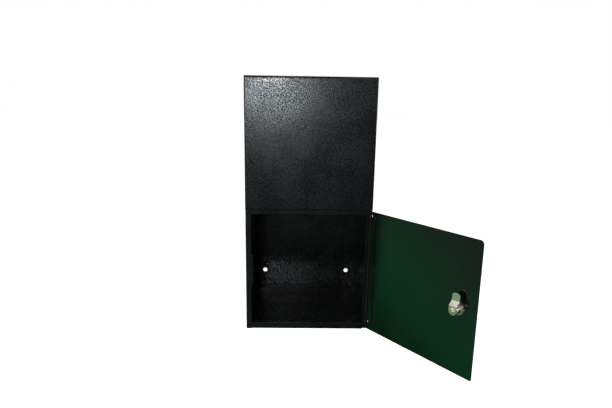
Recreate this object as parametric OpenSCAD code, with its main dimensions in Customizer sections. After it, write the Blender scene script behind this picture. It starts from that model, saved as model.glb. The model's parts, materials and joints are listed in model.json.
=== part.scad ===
// Wall mounted mailbox of folded steel sheet: a lower door on a rolled hinge
// edge with a cam lock, and a lid along the top that lifts to take the mail.
// The wall is the plane y = 0, the front faces -y, +z is up, and the origin is
// the centre of the four wall holes. Heights below are counted from the
// bottom of the box.

/* [Cabinet] */
// Overall width
body_w = 250; // [180:1:400]
// Overall height with the lid shut
body_h = 506; // [400:1:800]
// Depth from the wall to the front face
body_d = 250; // [160:1:400]
// Thickness of the cabinet sheet
sheet_t = 1.5; // [1:0.1:1.8]
// Outside radius of every fold in the cabinet sheet
bend_r = 2.5; // [2.2:0.1:2.8]
// Distance of the folded frame behind the front face
front_step = 3; // [2.9:0.1:4]
// Width of the fold beside the door opening
jamb_w = 11; // [9:0.5:20]
// Width of the fold along the back edge of each side
back_fold_w = 12; // [8:0.5:20]
// Height of the lower edge of the fixed front panel
panel_bottom = 252.5; // [180:0.5:320]

/* [Rails and floor] */
// Height of the header strip that shows above the door opening
header_h = 11; // [9:0.5:20]
// Height of the rails behind the front panel
rail_lap = 10; // [6:0.5:20]
// Depth of the level leg of both rails
rail_leg = 15; // [8:0.5:25]
// Height of the lip at the front of the floor
sill_h = 14; // [8:0.5:20]
// Height of the lips at the sides of the floor
floor_lip_h = 12; // [8:0.5:20]
// Depth of the fold at the foot of the back panel
foot_d = 26; // [15:0.5:40]
// Corner radius of that fold
foot_r = 8; // [3:0.5:12]

/* [Holes] */
// Diameter of the four wall holes
wall_hole_d = 10; // [5:0.5:12]
// Distance of the wall holes from the sides
wall_hole_side = 23; // [20:0.5:60]
// Distance of the wall holes from the bottom and the top
wall_hole_end = 38; // [25:0.5:80]
// Diameter of the two drain holes in the floor
drain_hole_d = 3; // [3:0.5:10]
// Distance of the drain holes from the sides
drain_side = 25; // [20:0.5:70]
// Distance of the drain holes from the front face
drain_front = 64; // [20:0.5:80]

/* [Door] */
// Thickness of the door sheet
door_t = 1.5; // [1:0.1:1.8]
// Gap between the door and the front panel above it
door_top_gap = 2; // [1:0.1:4]
// Height of the door's lower edge above the bottom of the box
door_bottom_gap = 1; // [0.5:0.1:4]
// Distance of the door's free edge inside the side of the box
door_side_gap = 1; // [0:0.1:3]
// Radius of the free corner at the top
door_top_r = 7; // [2:0.5:15]
// Radius of the free corner at the bottom
door_bottom_r = 3; // [2:0.5:15]
// Angle of the door as drawn, counted from shut
door_open = 128; // [0:0.5:170]

/* [Hinges] */
// Diameter of the hinge pins of the door and the lid
pin_d = 4; // [3:0.1:5]
// Radial running clearance of the pins
pin_fit = 0.05; // [0.02:0.01:0.09]
// Free space around the moving parts of the hinges
swing_gap = 0.7; // [0.4:0.1:1.5]
// Thickness of the two hinge lugs
lug_t = 2; // [1.5:0.1:4]
// Height of the lower lug above the sill lip
lug_above_sill = 3.4; // [0.8:0.1:8]
// Distance of the top of the upper lug below the upper edge of the door
lug_below_top = 8.5; // [5:0.1:16]
// Length of each pin inside the rolled edge
pin_hold = 20; // [10:0.5:40]
// Reach of the leg that lies back on the door behind its rolled edge
roll_leg = 12.5; // [6:0.5:16]
// Height of the head of the upper pin
pin_head_h = 1; // [0.5:0.1:2]
// Thickness of the washer that carries the door
hinge_washer_t = 1; // [0.5:0.1:2]

/* [Lock] */
// Distance of the lock from the free edge of the door
lock_inset = 35; // [30:0.5:50]
// Height of the lock above the bottom of the box
lock_z = 123; // [60:0.5:160]
// Diameter of the threaded lock body
lock_d = 16; // [14:0.5:19]
// Distance across the two flats of the lock body
lock_flats = 14; // [12:0.5:14]
// Length of the lock body behind the door
lock_len = 15.5; // [15:0.5:25]
// Diameter of the lock's head
lock_head_d = 23; // [21:0.5:28]
// Height of the lock's head in front of the door
lock_head_h = 2.5; // [2:0.1:4]
// Diameter of the plug that the key turns
plug_d = 11; // [10:0.1:11.5]
// Distance across the flats of the nut
nut_flats = 21; // [20:0.5:26]
// Thickness of the nut
nut_t = 4; // [3:0.5:6]
// Thickness of the washer under the nut
nut_washer_t = 1; // [0.5:0.1:2]
// Width of the cam
cam_w = 15; // [12:0.5:18]
// Thickness of the cam
cam_t = 2; // [1.5:0.1:3]
// Reach of the cam from the axis of the lock
cam_reach = 29.5; // [28:0.5:40]
// Distance of the cam's tongue from the door
cam_stand = 9; // [7:0.1:9.5]

/* [Latch strike] */
// Length of the strike bar
strike_len = 64; // [40:1:90]
// Thickness of the strike bar
strike_t = 5; // [3:0.1:5]
// Distance that the strike bar stands out past the jamb
strike_reach = 3.5; // [2:0.5:5]

/* [Lid] */
// Thickness of the lid sheet
lid_t = 1.5; // [1:0.1:1.8]
// Gap between the shut lid and the edges below it
lid_gap = 0.3; // [0.3:0.1:1]
// Height of the stiffener below the lid
stiffener_h = 16; // [10:0.5:30]
// Distance of the stiffener behind the rail
stiffener_gap = 3; // [2:0.5:20]
// Distance of the stiffener's ends from the sides
stiffener_side = 20; // [15:0.5:40]

/* [Hidden] */

$fn = 64;
paint = "#17191b";
zinc = "#b9bcbe";
steel = "#3a3c3e";
brass = "#b79a53";
over = 1;                                  // extra length of every cut

half_w = body_w / 2;
inner_w = body_w - 2 * sheet_t;
inner_r = bend_r - sheet_t;                // inside radius of a fold
frame_y = -body_d + front_step;            // front plane of the folded frame
pin_r = pin_d / 2;
bore_r = pin_r + pin_fit;

// door hinge: the sheet's edge is rolled round the pins at the right corner
roll_r = pin_r + door_t;
hinge_x = half_w - roll_r;
hinge_y = -body_d + roll_r;
right_jamb_y = hinge_y + roll_r + swing_gap;
lug_r = pin_r + 1.2;                       // eye of the lugs
lug_arm = pin_r + 0.2;                     // half the width of their arms
notch_gap = 0.5;                           // space round the lugs in the door's edge
notch_x = hinge_x - sqrt(lug_r * lug_r - pin_r * pin_r) - notch_gap;
pocket_x = hinge_x - roll_r - swing_gap;   // the header strip ends at this pocket
edge_tab = 2;                              // flat corner tabs pass the hinge axis
door_bottom = door_bottom_gap;
door_top = panel_bottom - door_top_gap;
door_inner_y = -body_d + door_t;
free_x = -half_w + door_side_gap;          // free edge of the shut door
jamb_x = half_w - jamb_w;
opening_top = panel_bottom - header_h;
low_lug_z = sill_h + lug_above_sill;
low_roll_z = low_lug_z + lug_t + hinge_washer_t + 0.1;   // just clear of the washer
top_lug_z = door_top - lug_below_top - lug_t;
top_roll_z = top_lug_z - 0.3;              // end play of the door below the upper lug
pin_head_r = pin_r + 0.9;
pin_stub = 0.6;                            // the lower pin shows below its lug

// lid hinge: the lid's rear edge is rolled in the same way
lid_roll_r = pin_r + lid_t;
lid_y = -(2 * sheet_t + 0.5 + lid_roll_r);
lid_z = body_h - lid_roll_r;
wall_top = body_h - lid_t - lid_gap;
lid_notch = lid_roll_r + 1.5;              // the lid's rear corners clear the sides' ears
roll_end = inner_w / 2 - 0.6;

// lock
lock_x = free_x + lock_inset;
lock_r = lock_d / 2;
plug_r = plug_d / 2;
tang_w = 8;
tang_flats = 6;
stop_t = 1;
stop_gap = 0.3;
cam_base = lock_len + stop_gap + stop_t;   // distance of the cam's foot from the door
screw_r = 2;
screw_washer_r = 5;
screw_washer_t = 0.8;
plug_face_h = 1.2;
plug_face_r = plug_r + 1.1;
wafer_t = 0.9;
wafer_pitch = 2.4;
wafer_count = 5;
wafer_fit = 0.05;
wafer_size = [7, 8];                       // width and height of a wafer
wafer_window = [2.4, 4];                   // opening in it for the key
key_slot = [1.8, 7];                       // width and height of the key slot

// ---- placing -------------------------------------------------------------

// Heights are drawn from the bottom of the box.
module from_floor() translate([0, 0, -body_h / 2]) children();

// The door and all it carries, swung open about the hinge pins.
module on_door()
  from_floor()
    translate([hinge_x, hinge_y, 0])
      rotate([0, 0, door_open])
        translate([-hinge_x, -hinge_y, 0])
          children();

// The axis of the lock: children are drawn along +z, which runs from the
// door's inner face into the box, with the box's height along +y.
module on_lock()
  on_door()
    translate([lock_x, door_inner_y, lock_z])
      rotate([-90, 0, 0])
        mirror([0, 1, 0])
          children();

module block(low, high) translate(low) cube(high - low);

// ---- folded sheet ----------------------------------------------------------

// Section of one fold: its outside corner is at the origin.
module fold_section(leg_x, leg_y) {
  translate([bend_r, 0]) square([leg_x - bend_r, sheet_t]);
  translate([0, bend_r]) square([sheet_t, leg_y - bend_r]);
  translate([bend_r, bend_r])
    intersection() {
      difference() {
        circle(bend_r);
        circle(inner_r);
      }
      translate([-bend_r, -bend_r]) square(bend_r);
    }
}

// Plan of a side: jamb, wall and back fold, its wall on the left.
module side_section(front_y) {
  wall_len = -sheet_t - front_y;
  translate([-half_w, front_y]) fold_section(jamb_w, wall_len - bend_r);
  translate([-half_w, -sheet_t]) mirror([0, 1]) fold_section(back_fold_w, wall_len / 2);
}

// Ear for a lid pin, at the top rear corner of the left side.
module lid_ear() {
  translate([-half_w, lid_y, lid_z])
    rotate([0, 90, 0]) cylinder(h = sheet_t, r = lid_roll_r);
  block([-half_w, lid_y - lid_roll_r, wall_top - bend_r], [-half_w + sheet_t, -sheet_t, lid_z]);
}

module lid_pin_hole()
  translate([-half_w - over, lid_y, lid_z])
    rotate([0, 90, 0]) cylinder(h = sheet_t + 2 * over, r = bore_r);

// Outline of a tray's section: the closed face is at y = 0, its corners round.
module tray_outline(width, depth, r) {
  translate([-width / 2, r]) square([width, depth - r]);
  translate([-width / 2 + r, 0]) square([width - 2 * r, depth]);
  for (side = [-1, 1])
    translate([side * (width / 2 - r), r])
      intersection() {
        circle(r);
        translate([-r, -r]) square([2 * r, r]);
      }
}

// Block with four round front edges, centred in x and z, its face at y = 0.
module soft_block(width, height, depth, r)
  intersection() {
    translate([0, 0, -height / 2]) linear_extrude(height) tray_outline(width, depth, r);
    rotate([0, 90, 0])
      translate([0, 0, -width / 2])
        linear_extrude(width) tray_outline(height, depth, r);
  }

// ---- cabinet ---------------------------------------------------------------

module back_panel() color(paint) from_floor() difference() {
  foot_w = body_w - 2 * back_fold_w - 2;
  union() {
    block([-half_w + 1, -sheet_t, sheet_t + bend_r], [half_w - 1, 0, wall_top]);
    translate([-foot_w / 2, 0, sheet_t])
      rotate([90, 0, 90])
        linear_extrude(foot_w) mirror([1, 0]) fold_section(foot_d / 2, bend_r + over);
    translate([0, -sheet_t, sheet_t]) linear_extrude(sheet_t) foot_plan(foot_w);
  }
  for (x = [-1, 1], z = [wall_hole_end, body_h - wall_hole_end])
    translate([x * (half_w - wall_hole_side), over, z])
      rotate([90, 0, 0]) cylinder(h = sheet_t + 2 * over, d = wall_hole_d);
}

// Plan of the fold on the floor, with its two round front corners.
module foot_plan(foot_w) {
  translate([-foot_w / 2 + foot_r, -foot_d]) square([foot_w - 2 * foot_r, foot_d - bend_r]);
  translate([-foot_w / 2, -foot_d + foot_r]) square([foot_w, foot_d - foot_r - bend_r]);
  for (side = [-1, 1])
    translate([side * (foot_w / 2 - foot_r), -foot_d + foot_r]) circle(foot_r);
}

module left_side() color(paint) from_floor() difference() {
  union() {
    linear_extrude(wall_top) side_section(frame_y);
    lid_ear();
  }
  lid_pin_hole();
}

// The right side steps back beside the door to make room for the rolled edge.
module right_side() color(paint) from_floor() mirror([1, 0, 0]) difference() {
  union() {
    linear_extrude(panel_bottom) side_section(right_jamb_y);
    translate([0, 0, panel_bottom])
      linear_extrude(wall_top - panel_bottom) side_section(frame_y);
    lid_ear();
  }
  lid_pin_hole();
}

module front_panel() color(paint) from_floor() {
  height = wall_top - panel_bottom;
  translate([0, -body_d, panel_bottom + height / 2])
    difference() {
      soft_block(body_w, height, front_step, bend_r);
      translate([0, sheet_t, 0])
        soft_block(inner_w, height - 2 * sheet_t, front_step, inner_r);
    }
}

// Angle of sheet along the cabinet: an upright leg at the front, a level leg below.
module rail(low_x, high_x, upright, level)
  translate([low_x, 0, 0])
    rotate([90, 0, 90]) linear_extrude(high_x - low_x) fold_section(level, upright);

module header_rail() color(paint) from_floor() {
  translate([0, frame_y, opening_top])
    rail(-jamb_x, jamb_x, header_h + rail_lap, rail_leg);
  block([jamb_x, frame_y, opening_top], [pocket_x, frame_y + sheet_t, panel_bottom]);
}

module top_rail() color(paint) from_floor()
  translate([0, frame_y, wall_top])
    mirror([0, 0, 1]) rail(-jamb_x, jamb_x, rail_lap + bend_r, rail_leg);

module floor_pan() color(paint) from_floor() difference() {
  front_y = right_jamb_y + bend_r;
  back_y = -sheet_t - bend_r;
  union() {
    block([-jamb_x, frame_y + bend_r, 0], [jamb_x, front_y, sheet_t]);
    block([-inner_w / 2, frame_y + bend_r, 0], [-jamb_x, front_y, sheet_t]);
    translate([0, frame_y, 0]) rail(-jamb_x, jamb_x, sill_h, bend_r + over);
    for (side = [0, 1]) mirror([side, 0, 0])
      translate([-inner_w / 2, back_y, 0])
        rotate([90, 0, 0])
          linear_extrude(back_y - front_y) fold_section(inner_w / 2, floor_lip_h);
    block([-half_w + back_fold_w, back_y, 0], [half_w - back_fold_w, 0, sheet_t]);
  }
  for (side = [-1, 1])
    translate([side * (half_w - drain_side), -body_d + drain_front, -over])
      cylinder(h = sheet_t + 2 * over, d = drain_hole_d);
}

module latch_strike() color(paint) from_floor() {
  corner_r = 2;
  low_x = -half_w + bend_r + 0.5;
  high_x = -jamb_x + strike_reach;
  translate([0, frame_y + sheet_t, lock_z + 3 - strike_len / 2])
    rotate([90, 0, 0]) mirror([0, 0, 1]) linear_extrude(strike_t) {
      translate([low_x, 0]) square([high_x - corner_r - low_x, strike_len]);
      translate([low_x, corner_r]) square([high_x - low_x, strike_len - 2 * corner_r]);
      for (z = [corner_r, strike_len - corner_r])
        translate([high_x - corner_r, z]) circle(corner_r);
    }
}

// ---- door hinge ------------------------------------------------------------

module hinge_lug() difference() {
  union() {
    cylinder(h = lug_t, r = lug_r);
    block([-lug_arm, 0, 0], [lug_arm, right_jamb_y - hinge_y, lug_t]);
  }
  translate([0, 0, -over]) cylinder(h = lug_t + 2 * over, r = bore_r);
}

module upper_hinge_lug() color(paint) from_floor()
  translate([hinge_x, hinge_y, top_lug_z]) hinge_lug();

module lower_hinge_lug() color(paint) from_floor()
  translate([hinge_x, hinge_y, low_lug_z]) hinge_lug();

// Its head lies on the lug and keeps the pin from dropping through.
module upper_hinge_pin() color(steel) from_floor()
  translate([hinge_x, hinge_y, top_roll_z - pin_hold]) {
    cylinder(h = pin_hold + top_lug_z - top_roll_z + lug_t, r = pin_r);
    translate([0, 0, pin_hold + top_lug_z - top_roll_z + lug_t])
      cylinder(h = pin_head_h, r = pin_head_r);
  }

module lower_hinge_pin() color(steel) from_floor()
  translate([hinge_x, hinge_y, low_lug_z - pin_stub])
    cylinder(h = low_roll_z + pin_hold - low_lug_z + pin_stub, r = pin_r);

module hinge_washer() color(steel) from_floor()
  translate([hinge_x, hinge_y, low_lug_z + lug_t]) difference() {
    cylinder(h = hinge_washer_t, r = lug_r);
    translate([0, 0, -over]) cylinder(h = hinge_washer_t + 2 * over, r = bore_r);
  }

// ---- door ------------------------------------------------------------------

// Face of the door from the front: x across, y up.
module door_outline() difference() {
  edge_x = hinge_x + edge_tab;
  union() {
    translate([free_x + door_top_r, door_bottom])
      square([edge_x - free_x - door_top_r, door_top - door_bottom]);
    translate([free_x, door_bottom + door_bottom_r])
      square([door_top_r + over, door_top - door_bottom - door_top_r - door_bottom_r]);
    translate([free_x + door_bottom_r, door_bottom])
      square([door_top_r, door_bottom_r + over]);
    translate([free_x + door_top_r, door_top - door_top_r]) circle(door_top_r);
    translate([free_x + door_bottom_r, door_bottom + door_bottom_r]) circle(door_bottom_r);
  }
  low_notch = low_lug_z - pin_stub - notch_gap;
  top_notch = top_lug_z + lug_t + pin_head_h + notch_gap;
  translate([notch_x, low_notch]) square([edge_x, low_roll_z - low_notch]);
  translate([notch_x, top_roll_z]) square([edge_x, top_notch - top_roll_z]);
}

// Round hole with two flats, for the lock body.
module flatted_circle(r, flats) intersection() {
  circle(r);
  translate([-r, -flats / 2]) square([2 * r, flats]);
}

module door_panel() color(paint) on_door() difference() {
  union() {
    translate([0, -body_d, 0])
      rotate([90, 0, 0]) mirror([0, 0, 1]) linear_extrude(door_t) difference() {
        door_outline();
        translate([hinge_x, low_roll_z]) square([roll_r, top_roll_z - low_roll_z]);
        translate([lock_x, lock_z]) flatted_circle(lock_r + 0.1, lock_flats + 0.2);
      }
    translate([hinge_x, hinge_y, low_roll_z])
      cylinder(h = top_roll_z - low_roll_z, r = roll_r);
    block([hinge_x - roll_leg, door_inner_y, low_roll_z],
          [hinge_x, door_inner_y + door_t, top_roll_z]);
  }
  translate([hinge_x, hinge_y, low_roll_z - over])
    cylinder(h = top_roll_z - low_roll_z + 2 * over, r = bore_r);
}

// ---- lock ------------------------------------------------------------------

module lock_body() color(zinc) on_lock() difference() {
  union() {
    translate([0, 0, -door_t - lock_head_h]) rotate_extrude() {
      square([lock_head_d / 2 - 1, lock_head_h]);
      translate([0, 1]) square([lock_head_d / 2, lock_head_h - 1]);
      translate([lock_head_d / 2 - 1, 1]) circle(1);
    }
    translate([0, 0, -door_t])
      linear_extrude(door_t + lock_len) flatted_circle(lock_r, lock_flats);
  }
  translate([0, 0, -door_t - lock_head_h - over])
    cylinder(h = door_t + lock_head_h + lock_len + 2 * over, r = plug_r + pin_fit);
  translate([0, 0, -door_t - lock_head_h - over])
    cylinder(h = plug_face_h + 0.3 + over, r = plug_face_r + 0.1);
}

module lock_nut_washer() color(zinc) on_lock() linear_extrude(nut_washer_t) difference() {
  circle(nut_flats / 2 + 1);
  flatted_circle(lock_r + 0.1, lock_flats + 0.2);
}

module lock_nut() color(zinc) on_lock() translate([0, 0, nut_washer_t]) difference() {
  corner_r = nut_flats / sqrt(3);
  chamfer = 0.9;
  intersection() {
    rotate([0, 0, 30]) cylinder(h = nut_t, r = corner_r, $fn = 6);
    rotate_extrude()
      polygon([[0, 0], [corner_r, 0], [corner_r, nut_t - chamfer],
               [corner_r - 2 * chamfer, nut_t], [0, nut_t]]);
  }
  translate([0, 0, -over]) cylinder(h = nut_t + 2 * over, r = lock_r + 0.05);
}

// Places of the wafers along the plug, counted from the door's inner face.
function wafer_z(i) = (i - 0.5) * wafer_pitch;

module lock_plug() color(zinc) on_lock() difference() {
  union() {
    translate([0, 0, -door_t - lock_head_h]) cylinder(h = plug_face_h, r = plug_face_r);
    translate([0, 0, -door_t - lock_head_h])
      cylinder(h = door_t + lock_head_h + lock_len + stop_gap, r = plug_r);
    linear_extrude(cam_base + cam_t) flatted_circle(tang_w / 2, tang_flats);
  }
  translate([-key_slot[0] / 2, -key_slot[1] / 2, -door_t - lock_head_h - over])
    cube([key_slot[0], key_slot[1], lock_head_h + door_t + over + wafer_z(wafer_count)]);
  for (i = [1:wafer_count])
    translate([0, 0, wafer_z(i)])
      cube([wafer_size[0] + 2 * wafer_fit, 2 * plug_d, wafer_t + 2 * wafer_fit], center = true);
  translate([0, 0, lock_len - 2]) cylinder(h = 2 * cam_base, r = screw_r - 0.2);
}

module lock_wafers() color(brass) on_lock()
  for (i = [1:wafer_count])
    translate([0, 0, wafer_z(i)]) difference() {
      cube([wafer_size[0], wafer_size[1], wafer_t], center = true);
      cube([wafer_window[0], wafer_window[1], wafer_t + over], center = true);
    }

module stop_washer() color(zinc) on_lock()
  translate([0, 0, lock_len + stop_gap]) linear_extrude(stop_t) difference() {
    union() {
      circle(cam_w / 2 - 0.3);
      translate([0, -1.5]) square([cam_w / 2 + 1, 3]);
    }
    flatted_circle(tang_w / 2 + 0.05, tang_flats + 0.1);
  }

// Centre line of the cam from the side: distance from the door, then height.
cam_line = [[cam_base + cam_t / 2, -cam_w / 2],
            [cam_base + cam_t / 2, cam_w / 2 + 1],
            [cam_stand + cam_t / 2, cam_w / 2 + 8],
            [cam_stand + cam_t / 2, cam_reach]];

// Flat bar that follows the line, with round bends.
module cam_side()
  for (i = [0:len(cam_line) - 2]) {
    run = cam_line[i + 1] - cam_line[i];
    translate(cam_line[i])
      rotate(atan2(run[1], run[0]))
        translate([0, -cam_t / 2]) square([norm(run), cam_t]);
    if (i > 0) translate(cam_line[i]) circle(cam_t / 2);
  }

module cam_face() {
  tip_r = 5;
  circle(cam_w / 2);
  translate([-cam_w / 2, 0]) square([cam_w, cam_reach - tip_r]);
  translate([-cam_w / 2 + tip_r, 0]) square([cam_w - 2 * tip_r, cam_reach]);
  for (side = [-1, 1])
    translate([side * (cam_w / 2 - tip_r), cam_reach - tip_r]) circle(tip_r);
}

module lock_cam() color(zinc) on_lock() difference() {
  intersection() {
    linear_extrude(cam_base + cam_t) cam_face();
    rotate([0, -90, 0])
      translate([0, 0, -cam_w / 2]) linear_extrude(cam_w) cam_side();
  }
  linear_extrude(cam_base + cam_t + over) flatted_circle(tang_w / 2 + 0.05, tang_flats + 0.1);
}

module cam_screw_washer() color(zinc) on_lock()
  translate([0, 0, cam_base + cam_t]) linear_extrude(screw_washer_t) difference() {
    circle(screw_washer_r);
    circle(screw_r + 0.1);
  }

module cam_screw() color(zinc) on_lock() {
  head_r = 3.9;
  head_h = 2.4;
  round_r = 1.2;
  translate([0, 0, cam_base + cam_t + screw_washer_t]) difference() {
    rotate_extrude() {
      square([head_r, head_h - round_r]);
      square([head_r - round_r, head_h]);
      translate([head_r - round_r, head_h - round_r]) circle(round_r);
    }
    for (turn = [0, 90])
      rotate([0, 0, turn])
        translate([0, 0, head_h]) cube([4, 0.9, 2.6], center = true);
  }
  translate([0, 0, lock_len])
    cylinder(h = cam_base + cam_t + screw_washer_t - lock_len, r = screw_r - 0.25);
}

// ---- lid -------------------------------------------------------------------

module lid_panel() color(paint) from_floor() difference() {
  front_r = 2;
  union() {
    translate([0, 0, body_h - lid_t]) linear_extrude(lid_t) difference() {
      union() {
        translate([-half_w, -body_d + front_r]) square([body_w, body_d + lid_y - front_r]);
        translate([-half_w + front_r, -body_d]) square([body_w - 2 * front_r, front_r + over]);
        for (side = [-1, 1])
          translate([side * (half_w - front_r), -body_d + front_r]) circle(front_r);
      }
      for (side = [-1, 1])
        translate([side * (roll_end + half_w) - half_w, lid_y - lid_notch])
          square([body_w, lid_notch + over]);
    }
    translate([-roll_end, lid_y, lid_z])
      rotate([0, 90, 0]) cylinder(h = 2 * roll_end, r = lid_roll_r);
  }
  translate([-roll_end - over, lid_y, lid_z])
    rotate([0, 90, 0]) cylinder(h = 2 * roll_end + 2 * over, r = bore_r);
}

module lid_stiffener() color(paint) from_floor()
  translate([0, frame_y + rail_leg + stiffener_gap, body_h - lid_t])
    mirror([0, 0, 1])
      rail(-half_w + stiffener_side, half_w - stiffener_side, stiffener_h, rail_leg);

// Rivet-headed pin through the side into the lid's rolled edge.
module lid_pin() translate([-half_w, lid_y, lid_z]) rotate([0, 90, 0]) {
  head_h = 1.4;
  head_r = pin_r + 1.8;
  round_r = 0.7;
  translate([0, 0, -head_h]) rotate_extrude() {
    square([head_r - round_r, head_h]);
    translate([0, round_r]) square([head_r, head_h - round_r]);
    translate([head_r - round_r, round_r]) circle(round_r);
  }
  cylinder(h = pin_hold, r = pin_r);
}

module lid_pin_left() color(zinc) from_floor() lid_pin();

module lid_pin_right() color(zinc) from_floor() mirror([1, 0, 0]) lid_pin();

back_panel();
left_side();
right_side();
front_panel();
header_rail();
top_rail();
floor_pan();
latch_strike();
upper_hinge_lug();
lower_hinge_lug();
upper_hinge_pin();
lower_hinge_pin();
hinge_washer();
lid_pin_left();
lid_pin_right();
door_panel();
lock_body();
lock_nut_washer();
lock_nut();
lock_plug();
lock_wafers();
stop_washer();
lock_cam();
cam_screw_washer();
cam_screw();
lid_panel();
lid_stiffener();
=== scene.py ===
# %% [markdown]
# A wall mounted mailbox of folded sheet steel, with its lower door open.
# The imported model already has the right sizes, joints and bodies. This lesson builds what the
# eye sees around it: sheet with soft worn edges, a door edge that is really rolled round its
# hinge pins, weld beads, a threaded cam lock, and black powder coat that catches the light.

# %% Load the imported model
import json
import math

import bmesh
import bpy
from mathutils import Matrix, Vector


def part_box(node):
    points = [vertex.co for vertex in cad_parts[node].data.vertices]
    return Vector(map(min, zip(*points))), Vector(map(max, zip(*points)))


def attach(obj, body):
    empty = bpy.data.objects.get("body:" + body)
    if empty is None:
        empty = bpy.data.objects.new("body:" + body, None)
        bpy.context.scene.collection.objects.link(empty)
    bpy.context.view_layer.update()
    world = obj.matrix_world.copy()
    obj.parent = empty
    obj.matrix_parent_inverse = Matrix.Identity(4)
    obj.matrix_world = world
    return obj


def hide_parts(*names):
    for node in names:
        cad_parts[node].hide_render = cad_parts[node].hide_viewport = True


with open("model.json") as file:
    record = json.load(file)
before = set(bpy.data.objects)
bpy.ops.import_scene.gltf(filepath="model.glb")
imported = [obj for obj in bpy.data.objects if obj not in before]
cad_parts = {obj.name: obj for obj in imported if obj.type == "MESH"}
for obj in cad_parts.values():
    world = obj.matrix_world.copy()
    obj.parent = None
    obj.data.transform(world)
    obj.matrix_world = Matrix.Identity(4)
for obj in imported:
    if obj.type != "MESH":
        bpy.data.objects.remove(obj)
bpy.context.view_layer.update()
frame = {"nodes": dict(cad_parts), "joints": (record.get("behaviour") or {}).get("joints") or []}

nodes = frame["nodes"]
joints = {joint["name"]: joint for joint in frame["joints"]}

# %% [markdown]
# Sizes. Blender works in metres and a sheet metal worker in millimetres, so lengths are written
# as a number times `mm`. Places come from the frame: the hinge axes from the joints, the bottom
# of the box from the bounds. Only what the frame can't say, such as a pin's diameter, is named.

# %% Sizes shared by the pieces
mm = 0.001
sheet = 1.5 * mm                    # thickness of every sheet in the box
pin_r = 2.0 * mm                    # radius of the hinge pins
bore_r = pin_r + 0.05 * mm          # inside radius of a rolled edge
roll_r = pin_r + sheet              # outside radius of a rolled edge
soft = 0.3 * mm                     # how far the cut edges of the sheet are rounded
box_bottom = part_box("floor_pan")[0].z
door_pin = Vector(joints["door_hinge"]["pos_m"])
lid_pin = Vector(joints["lid_hinge"]["pos_m"])
door_turn = math.radians(-joints["door_hinge"]["range_deg"][0])
print("door is open by", round(math.degrees(door_turn)), "degrees")

# %% [markdown]
# The door was cut, rolled and drilled flat, so it is easiest to draw shut and swing it open at
# the end. A matrix does that: to the hinge axis, turn, and back. The lock has its own matrix,
# whose third axis runs from the door's inner face into the box.

# %% Matrices of the swung door and of the lock
swing_open = (Matrix.Translation((door_pin.x, door_pin.y, 0))
              @ Matrix.Rotation(door_turn, 4, "Z")
              @ Matrix.Translation((-door_pin.x, -door_pin.y, 0)))
lock_inward = -Vector(joints["lock_turn"]["axis"]).normalized()
lock_across = lock_inward.cross(Vector((0, 0, 1)))
lock_place = Matrix.Translation(joints["lock_turn"]["pos_m"]) @ Matrix((
    (lock_across.x, 0, lock_inward.x, 0),
    (lock_across.y, 0, lock_inward.y, 0),
    (0, 1, 0, 0),
    (0, 0, 0, 1)))
print("lock is at", [round(v, 4) for v in lock_place.translation])

# %% [markdown]
# The camera stands a little above the box and looks slightly down at it, with a lens of a
# normal wide view. It comes early, because the light is judged through it.

# %% Camera
camera_data = bpy.data.cameras.new("camera")
camera_data.sensor_width = 36
camera_data.lens = 28.88
camera_data.clip_start = 0.01
camera = bpy.data.objects.new("camera", camera_data)
bpy.context.scene.collection.objects.link(camera)
bpy.context.scene.camera = camera
camera_pitch = math.radians(-12.604)
camera_yaw = math.radians(-1.114)
camera_roll = math.radians(0.937)
camera.matrix_world = (Matrix.Translation((-0.0244, -1.1816, 0.2204))
                       @ Matrix.Rotation(camera_yaw, 4, "Z")
                       @ Matrix.Rotation(math.radians(90) + camera_pitch, 4, "X")
                       @ Matrix.Rotation(camera_roll, 4, "Z"))
print("camera looks from", [round(v, 3) for v in camera.matrix_world.translation])

# %% [markdown]
# Node trees are long to write by hand. `put` adds one node and fills its sockets: a value
# becomes the socket's default, and an output of another node becomes a link.

# %% Helpers for node trees
def put(tree, kind, sockets=None, **settings):
    """A new node of this kind, with its settings and sockets filled in."""
    node = tree.nodes.new(kind)
    for key, value in settings.items():
        setattr(node, key, value)
    for key, value in (sockets or {}).items():
        if isinstance(value, bpy.types.NodeSocket):
            tree.links.new(value, node.inputs[key])
        else:
            node.inputs[key].default_value = value
    return node


def calc(tree, operation, first, second=0.0):
    """The result of one Math node."""
    return put(tree, "ShaderNodeMath", {0: first, 1: second}, operation=operation).outputs[0]


def spread(tree, value, low, high, to_low=0.0, to_high=1.0):
    """A value stretched from one range to another, with soft ends."""
    sockets = {"Value": value, 1: low, 2: high, 3: to_low, 4: to_high}
    return put(tree, "ShaderNodeMapRange", sockets, interpolation_type="SMOOTHSTEP").outputs[0]


def blend_colours(tree, share, first, second):
    """Two colours mixed by a mask."""
    node = put(tree, "ShaderNodeMix", {0: share, 6: first, 7: second}, data_type="RGBA")
    return node.outputs[2]


def new_group(kind, name, inputs, outputs):
    """A node group with named sockets, and its input and output nodes."""
    group = bpy.data.node_groups.new(name, kind)
    for label, socket_type, value in inputs:
        socket = group.interface.new_socket(label, in_out="INPUT", socket_type=socket_type)
        if value is not None:
            socket.default_value = value
    for label, socket_type in outputs:
        group.interface.new_socket(label, in_out="OUTPUT", socket_type=socket_type)
    return group, group.nodes.new("NodeGroupInput"), group.nodes.new("NodeGroupOutput")


# %% [markdown]
# Powder coat is a skin of melted plastic grains. Close up it has two scales: a fine grain of
# about a millimetre and a slow "orange peel" of several millimetres. Both are noise, and the
# group puts out their sum as a height in metres, ready for a Bump node, and a cloudy value
# that makes the gloss uneven.

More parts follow.
